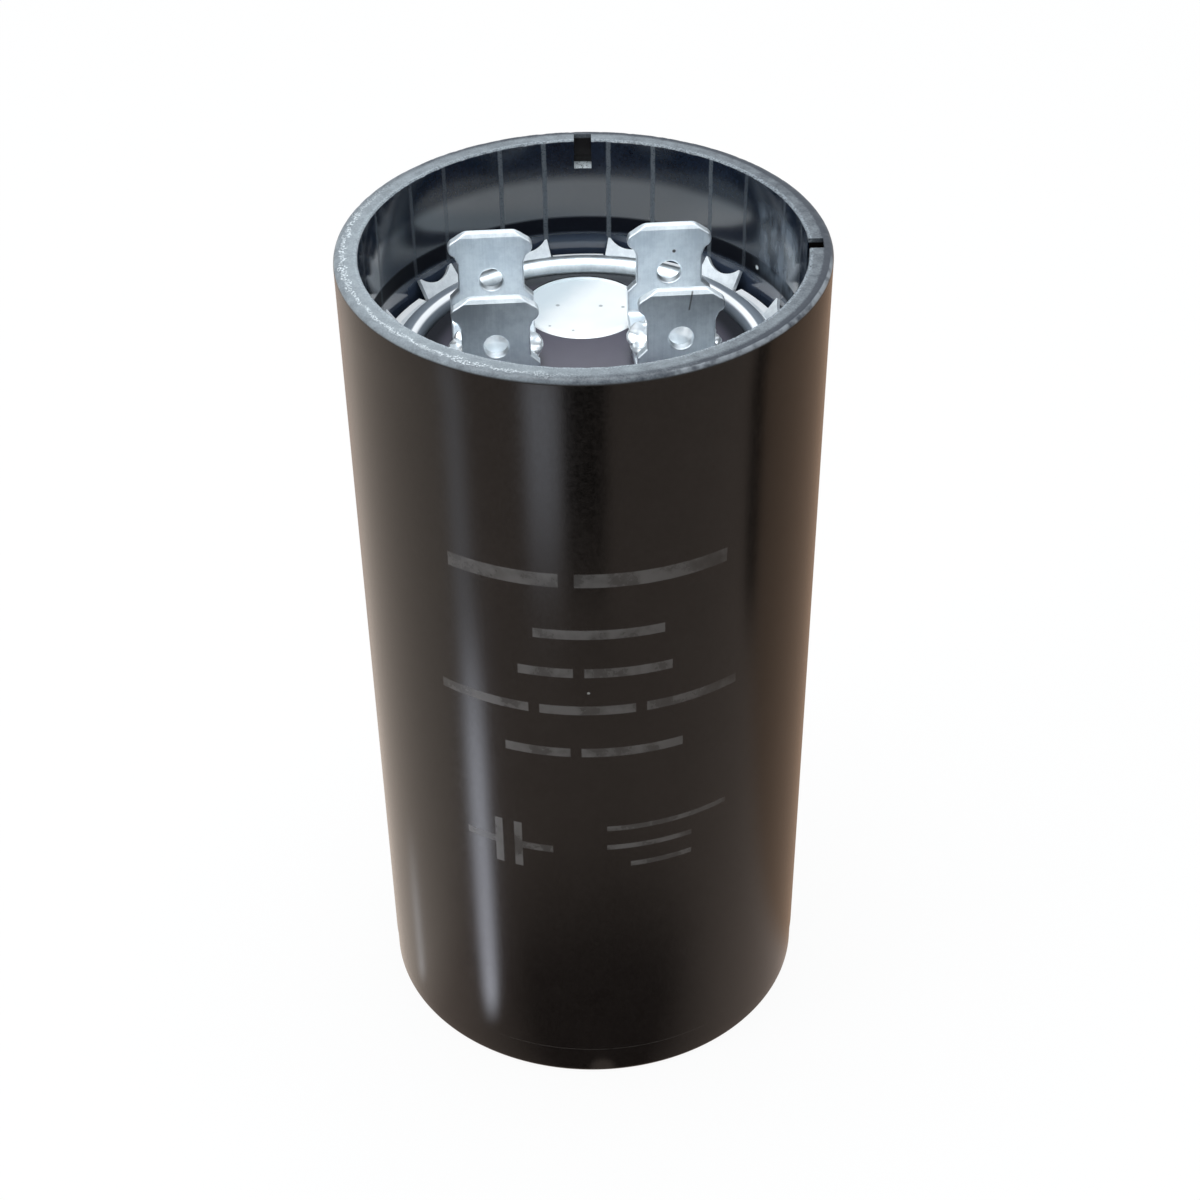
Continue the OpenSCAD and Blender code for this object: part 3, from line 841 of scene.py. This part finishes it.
def sheet_point(kind, turn_off, j, w):
    """Radius and height of grid line j, at height w from the sheet's middle plane."""
    if j <= HOOP_CELLS:
        return RING_IN + (HOOP_R - RING_IN) * j / HOOP_CELLS, RING_T / 2 + w
    share = (j - HOOP_CELLS) / SHEET_CELLS
    if kind == "bar":
        return HOOP_R + (BAR_R - HOOP_R) * share, RING_T / 2 + w
    along = (BEND_START - HOOP_R + reach_at(turn_off)) * share - (BEND_START - HOOP_R)
    turn_up = wing_slope * min(1, max(0, (along + BEND_HALF) / (2 * BEND_HALF)))
    lift = max(0, along)
    return (BEND_START + min(0, along) + lift * math.cos(wing_slope) - w * math.sin(turn_up),
            RING_T / 2 + lift * math.sin(wing_slope) + w * math.cos(turn_up))


def narrowed(kind, turn_off, j):
    """The turn of a grid line: a wing gets narrower from its root to its fangs."""
    if kind != "wing" or j <= HOOP_CELLS:
        return turn_off
    return turn_off * (1 + (FANG_HALF / WING_HALF - 1) * (j - HOOP_CELLS) / SHEET_CELLS)


columns = []
for k in range(WINGS):
    middle = WING_START + pitch * k
    for i in range(WING_CELLS):
        columns.append(("wing", middle, -WING_HALF + 2 * WING_HALF * i / WING_CELLS))
    columns.append(("slit", middle, WING_HALF))
    gap = pitch - 2 * WING_HALF - 2 * SLIT_ANGLE
    for i in range(BAR_CELLS):
        columns.append(("bar", middle, WING_HALF + SLIT_ANGLE + gap * i / BAR_CELLS))
    columns.append(("slit", middle, pitch - WING_HALF - SLIT_ANGLE))
print(f"ring: {len(columns)} columns, wings rise at {math.degrees(wing_slope):.0f} degrees")

# %% Close the ring's sheet
ROWS = HOOP_CELLS + SHEET_CELLS
RING_SHARP, RING_ROUND, ROUND_FROM = 40, 0.055, 50

bm = bmesh.new()
found = {}


def corner(column, j, w):
    """The mesh point on the first line of a column; a sheet cell passes its own kind."""
    kind, index = column
    _, middle, off = columns[index % len(columns)]
    key = (kind if j > HOOP_CELLS else "hoop", index % len(columns), j, w)
    if key not in found:
        r, z = sheet_point(kind, off if off <= WING_HALF else off - pitch, j, w * RING_T / 2)
        angle = math.radians(middle + narrowed(kind, off, j))
        place = (r * MM * math.cos(angle), r * MM * math.sin(angle), (SHOULDER_Z + z) * MM)
        found[key] = bm.verts.new(place)
    return found[key]


def is_sheet(index, j):
    """Whether a cell of the grid is sheet and not gap."""
    return 0 <= j < ROWS and (j < HOOP_CELLS or columns[index % len(columns)][0] != "slit")


for index, (kind, _, _) in enumerate(columns):
    for j in range(ROWS):
        if not is_sheet(index, j):
            continue
        square = [(index, j), (index + 1, j), (index + 1, j + 1), (index, j + 1)]
        top = [corner((kind, i), row, 1) for i, row in square]
        low = [corner((kind, i), row, -1) for i, row in square]
        bm.faces.new(reversed(top))
        bm.faces.new(low)
        around = [(index, j - 1), (index + 1, j), (index, j + 1), (index - 1, j)]
        for n, cell in enumerate(around):
            if not is_sheet(*cell):
                m = (n + 1) % 4
                bm.faces.new((top[n], top[m], low[m], low[n]))
bmesh.ops.recalc_face_normals(bm, faces=bm.faces)
mesh = bpy.data.meshes.new("fanged_ring")
bm.to_mesh(mesh)
open_edges = sum(not e.is_manifold for e in bm.edges)
bm.free()
ring = settle("fanged_ring", mesh, RING_SHARP)
soften = ring.modifiers.new("soft_edges", "BEVEL")
soften.width, soften.segments, soften.limit_method = RING_ROUND * MM, 2, "ANGLE"
soften.angle_limit, soften.harden_normals = math.radians(ROUND_FROM), True
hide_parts("retaining_ring")
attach(ring, "root")
print("ring:", len(mesh.polygons), "faces,", open_edges, "open edges")

# %% [markdown]
# ## Rivets
#
# A tubular rivet is pushed up through each terminal, split and hammered flat. Its flange is
# crumpled, and shines like foil. A spun outline whose points are bent by noise gives that, where a
# clean turned flange would look machined.

# %% Crumple the rivets
FLANGE_Z = round(TERM_Z + BLADE_T, 3)  # it lies on the terminal's foot
FLANGE_TOP = in_mm(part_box("rivet_left"))[1][2]
PETALS, FLANGE_R, HOLLOW_R = 6, 3.65, 1.2
LIP_W, LIP_Z, CROWN_R, CROWN_Z = 0.35, 62.15, 3.0, 62.2
EDGE_ROUND, EDGE_Z, SHANK_R, SHANK_Z = 0.33, 61.9, 1.9, 58
HOLLOW_Z, HOLLOW_SIDE_Z = (59.9, 59.85), (60.1, 61.4)
SPREAD_FROM, SPREAD_OVER = 1.3, 1.6
SPLIT_H, SPLIT_IN, SPLIT_POWER = 0.22, 0.45, 0.35
FOLD_H, FOLD_IN, CREASE_H = 0.16, 0.10, 0.30
FREE_FROM, FREE_OVER = 0.05, 0.4
RIVET_SEEDS = {"left": -2, "right": 12}
RIVET_STEPS = 132

lip_point = (HOLLOW_R + LIP_W, LIP_Z)
section = [(0, HOLLOW_Z[0]), (HOLLOW_R * 0.6, HOLLOW_Z[1])] + [(HOLLOW_R, z) for z in HOLLOW_SIDE_Z]
section += between(section[-1], lip_point, 4) + between(lip_point, (CROWN_R, CROWN_Z), 9)
section += arc((FLANGE_R - EDGE_ROUND, EDGE_Z), EDGE_ROUND, 75, -80, 7)
section += between(section[-1], (SHANK_R, FLANGE_Z + 0.01), 4) + [(SHANK_R, SHANK_Z), (0, SHANK_Z)]
section.reverse()


def crumpled(seed):
    """A wear for turned(): it splits the flange into petals, then folds and creases them."""
    def move(radius, height, angle):
        spread = max(0, min(1, (radius - SPREAD_FROM) / SPREAD_OVER)) if height > FLANGE_Z else 0
        point = Vector((radius * math.cos(angle), radius * math.sin(angle), seed))
        petal = abs(math.sin(angle * PETALS / 2 + seed)) ** SPLIT_POWER
        fold = noise.fractal(point * 0.8, 0.7, 2.0, 2)
        crease = abs(noise.noise(point * 1.2 + Vector((9, 3, seed))))
        lift = spread * (FOLD_H * fold - CREASE_H * crease - SPLIT_H * (1 - petal))
        pull = spread * (SPLIT_IN * (1 - petal) + FOLD_IN * abs(fold))
        free = max(0, min(1, (height - FLANGE_Z - FREE_FROM) / FREE_OVER))
        return radius - pull, min(height + lift * free, FLANGE_TOP)
    return move


rivets = {}
for word, side in SIDES.items():
    made = turned("crumpled_rivet_" + word, section, RIVET_STEPS, crumpled(RIVET_SEEDS[word]))
    made.data.transform(Matrix.Rotation(math.radians(COVER_TURN), 4, "Z")
                        @ Matrix.Translation((side * TERM_PITCH / 2 * MM, 0, 0)))
    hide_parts("rivet_" + word)
    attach(made, "root")
    rivets[word] = made
    print(made.name, len(made.data.polygons), "faces")

# %% [markdown]
# ## Vent disc
#
# The pale disc seals the vent, and lets go if pressure builds. It is a pressed disc with a
# rounded edge and a fine ring just inside it, so a short spun outline is enough.

# %% Vent disc
vent_low, vent_high = in_mm(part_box("vent_disc"))
VENT_Z, VENT_TOP = vent_low[2], vent_high[2]
VENT_R, VENT_X, VENT_Y = 4.7, 0.35, 7.65
VENT_ROUND, VENT_SAG, VENT_STEPS = 0.13, 0.06, 120
VENT_LINE = [(0.3, 0), (0.36, 0.05), (0.44, 0.05), (0.55, 0.01)]  # in from the edge, down from the top

section = [(0, VENT_Z), (VENT_R - 0.08, VENT_Z)]
section += arc((VENT_R - VENT_ROUND, VENT_TOP - VENT_ROUND), VENT_ROUND, 0, 90, 5)
section += [(VENT_R - inward, VENT_TOP - down) for inward, down in VENT_LINE]
section += between(section[-1], (0.6, VENT_TOP - VENT_SAG), 10) + [(0, VENT_TOP - VENT_SAG)]
vent = turned("vent_seal", section, VENT_STEPS)
vent.data.transform(Matrix.Rotation(math.radians(COVER_TURN), 4, "Z")
                    @ Matrix.Translation(Vector((VENT_X, VENT_Y, 0)) * MM))
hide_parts("vent_disc")
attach(vent, "root")
print("vent:", len(vent.data.polygons), "faces")

# %% [markdown]
# ## Metals
#
# Four metals share the well of the cup: tinned blades with rolling lines, a zinc-plated spring ring,
# a spun aluminium can and soft aluminium rivets. They differ in tone, grain and roughness, so one
# function makes them all. A metal may have marks and painted light: real specks and a scratch on
# the blades, painted shade on the flanks of the can's bead with a painted highlight on its crest,
# and painted light on the bars of the ring.

# %% Metal finishes
def metal(name, tone, rough, lines, grain_scale, depth, bare=1.0, stain_or_painted_light=None):
    """A metal: dull and pale tone, roughness, stretch, scale and depth of its grain, metallic share.

    The last argument is a function of the place that gives real marks or painted light and shade, which
    don't shine, and their colour.
    """
    material, wire = finish(name)
    at = Place(wire)
    cloud = at.grain(0.45, detail=3)
    line = at.grain(grain_scale, stretch=lines, detail=3, rough=0.6)
    pits = at.grain(14, detail=2)
    patch = at.grain(1.5, detail=4, rough=0.65)
    colour = blend(ramp(cloud * 0.4 + patch * 0.4 + line * 0.2, 0.36, 0.64), tone[0], tone[1])
    if stain_or_painted_light:
        mark_or_painted_light, mark_or_light_colour = stain_or_painted_light(at)
        colour = blend(mark_or_painted_light, colour, mark_or_light_colour)
        bare = bare * (1 - mark_or_painted_light)
    surface(wire, {"Base Color": colour, "Metallic": bare,
                   "Roughness": rough + 0.14 * (cloud - 0.5) + 0.12 * (line - 0.5),
                   "Normal": relief(line + 0.4 * pits, depth)})
    return material


print("helper: metal")

# %% Marks on the metals
BLADE_SPECK = (6.81, 4.81, 66.69)
TIP_SCRATCH_X, TIP_SCRATCH_Z, TIP_SCRATCH_LEAN = 7.58, 67.15, 0.155
TIP_SCRATCH_SPAN, FRONT_BLADE_Y = (67.3, 68.6), (-4.55, -4.35)
BEAD_IN_R, HIGHLIGHT_CREST_R = (12.4, 12.6), (13.26, 13.50)
BEAD_BACK_TURN, BEAD_FRONT_TURN = (62, 118), (-150, -30)


def blade_marks(at):
    """A speck on the rear blade and a fine scratch down from the tip of the front one."""
    across = abs(at.x - TIP_SCRATCH_X - TIP_SCRATCH_LEAN * (at.z - TIP_SCRATCH_Z))
    line = band(at.z, *TIP_SCRATCH_SPAN, 0.15) * (1 - ramp(across, 0.03, 0.09))
    line = line * (1 - ramp(at.y, *FRONT_BLADE_Y))
    return spot(at, BLADE_SPECK, 0.08, 0.10) + 0.8 * line, (0.03, 0.03, 0.035)


def bead_painted_shade_and_highlight(at):
    """The can's rolled bead, left and right: painted shade on its two flanks and a painted highlight on
    its crest.
    """
    sides = 1 - band(at.turn, *BEAD_BACK_TURN, 22) - band(at.turn, *BEAD_FRONT_TURN, 20)
    painted_crest_highlight = band(at.r, *HIGHLIGHT_CREST_R, 0.15)
    return 0.92 * sides * ramp(at.r, *BEAD_IN_R), blend(painted_crest_highlight, (0.12, 0.145, 0.18), (0.97, 0.98, 1.0))


def ring_bars_painted_light(at):
    """The bars of flat band between the ring's wings, painted near white as painted light."""
    ring_top = SHOULDER_Z + RING_T
    flat = 1 - ramp(at.z, ring_top + 0.02, ring_top + 0.07)
    return 0.9 * ramp(at.r, HOOP_R + 0.15, HOOP_R + 0.25) * flat, (0.97, 0.985, 1.0)


print("marks:", [mark_or_painted_light.__name__ for mark_or_painted_light in (blade_marks, bead_painted_shade_and_highlight, ring_bars_painted_light)])

# %% Four metals
EVEN, UPRIGHT = (1, 1, 1), (1, 1, 0.05)

tinned = metal("tinned_blade", ((0.66, 0.72, 0.77), (0.85, 0.91, 0.95)), rough=0.42,
               lines=UPRIGHT, grain_scale=7, depth=0.006, stain_or_painted_light=blade_marks)
zinced = metal("zinced_spring", ((0.74, 0.79, 0.83), (0.90, 0.95, 0.98)), rough=0.50,
               lines=EVEN, grain_scale=3, depth=0.006, bare=0.4, stain_or_painted_light=ring_bars_painted_light)
spun = metal("spun_can", ((0.54, 0.60, 0.64), (0.72, 0.79, 0.83)), rough=0.39,
             lines=EVEN, grain_scale=5, depth=0.004, bare=0.95, stain_or_painted_light=bead_painted_shade_and_highlight)
soft_metal = metal("soft_rivet", ((0.76, 0.80, 0.83), (0.92, 0.94, 0.95)), rough=0.40,
                   lines=EVEN, grain_scale=4, depth=0.004)
print("metals:", [m.name for m in (tinned, zinced, spun, soft_metal)])


def dress(node, material):
    """Give a packed node its finish."""
    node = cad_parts[node]
    node.data.materials.clear()
    node.data.materials.append(material)


dress("inner_can", spun)
for word in SIDES:
    terminals[word].data.materials.append(tinned)
    rivets[word].data.materials.append(soft_metal)
    dress("lead_" + word, spun)
ring.data.materials.append(zinced)

# %% [markdown]
# ## Cover, vent and hidden pieces
#
# The cover is a dark, glossy pressed board. Its front looks grey only because it mirrors the
# sky there, so a coat over a dark base gives its pale front. Towards its edge, except at the
# front, it is painted darker and loses its coat, as painted shade by the bead. The vent is pale
# foil, with painted shade on one side. The gasket, the winding and its paper are seldom seen, and
# get plain finishes.

# %% Cover finish
COVER_SHADE_R, COVER_SHADE_Y = (10.4, 12.0), (-10, -5)
COVER_SPECK = (-1.07, -1.8, 60.45)

material, wire = finish("laminate_cover")
at = Place(wire)
cloud = at.grain(0.5, detail=4)
fleck = at.grain(6, detail=3, rough=0.65)
colour = blend(cloud * 0.5 + fleck * 0.5, (0.040, 0.036, 0.056), (0.082, 0.076, 0.106))
# Painted shade: the cover is darkened and uncoated near the bead, except at the front.
painted_groove_shade = ramp(at.r, *COVER_SHADE_R) * ramp(at.y, *COVER_SHADE_Y)
colour = blend(painted_groove_shade, colour, (0.006, 0.007, 0.011))
colour = blend(spot(at, COVER_SPECK, 0.12, 0.15), colour, (0.004, 0.004, 0.004))
surface(wire, {"Base Color": colour, "Roughness": 0.42 + 0.2 * (fleck - 0.5), "Specular IOR Level": 0.3,
               "Coat Weight": 1 - painted_groove_shade, "Coat IOR": 1.66, "Coat Roughness": 0.3,
               "Normal": relief(fleck, 0.008)})
dress("cover", material)
print("cover:", material.name)

# %% Vent finish
# x, y and size of each speck
VENT_SPECKS = [(-2.1, 8.0, 0.10), (1.26, 7.85, 0.10), (2.99, 7.6, 0.08),
               (-0.9, 4.2, 0.04), (-2.7, 4.9, 0.04)]

material, wire = finish("vent_foil")
at = Place(wire)
cloud = at.grain(0.5, detail=3)
speck = sum(spot(at, (x, y, VENT_TOP), size, 0.12) for x, y, size in VENT_SPECKS)
# Painted shade: the vent is painted greyer towards its back left.
painted_shade_side = ramp((at.y - VENT_Y) * 0.6 - (at.x - VENT_X) * 0.8 + 1.6 * (cloud - 0.5), 0.4, 3.6)
colour = blend(cloud, (0.86, 0.89, 0.90), (0.94, 0.96, 0.96))
colour = blend(painted_shade_side * 0.9, colour, (0.56, 0.64, 0.69))
colour = blend(speck * 0.7, colour, (0.20, 0.22, 0.24))
surface(wire, {"Base Color": colour, "Metallic": 0.2, "Roughness": 0.5 + 0.2 * (cloud - 0.5),
               "Normal": relief(cloud, 0.02)})
vent.data.materials.append(material)
print("vent:", material.name)

# %% Rubber and paper
material, wire = finish("black_rubber")
at = Place(wire)
bloom = at.grain(1.5, detail=4)
surface(wire, {"Base Color": blend(bloom, (0.010, 0.010, 0.011), (0.03, 0.03, 0.032)),
               "Roughness": 0.7 + 0.15 * (bloom - 0.5), "Normal": relief(bloom, 0.01)})
dress("gasket", material)

material, wire = finish("wound_paper")
at = Place(wire)
layer = at.grain(3, stretch=(1, 1, 0.05), detail=3)
surface(wire, {"Base Color": blend(layer, (0.42, 0.33, 0.20), (0.62, 0.52, 0.36)),
               "Roughness": 0.75 + 0.1 * (layer - 0.5), "Normal": relief(layer, 0.02)})
dress("winding", material)
print("finishes:", len(bpy.data.materials))
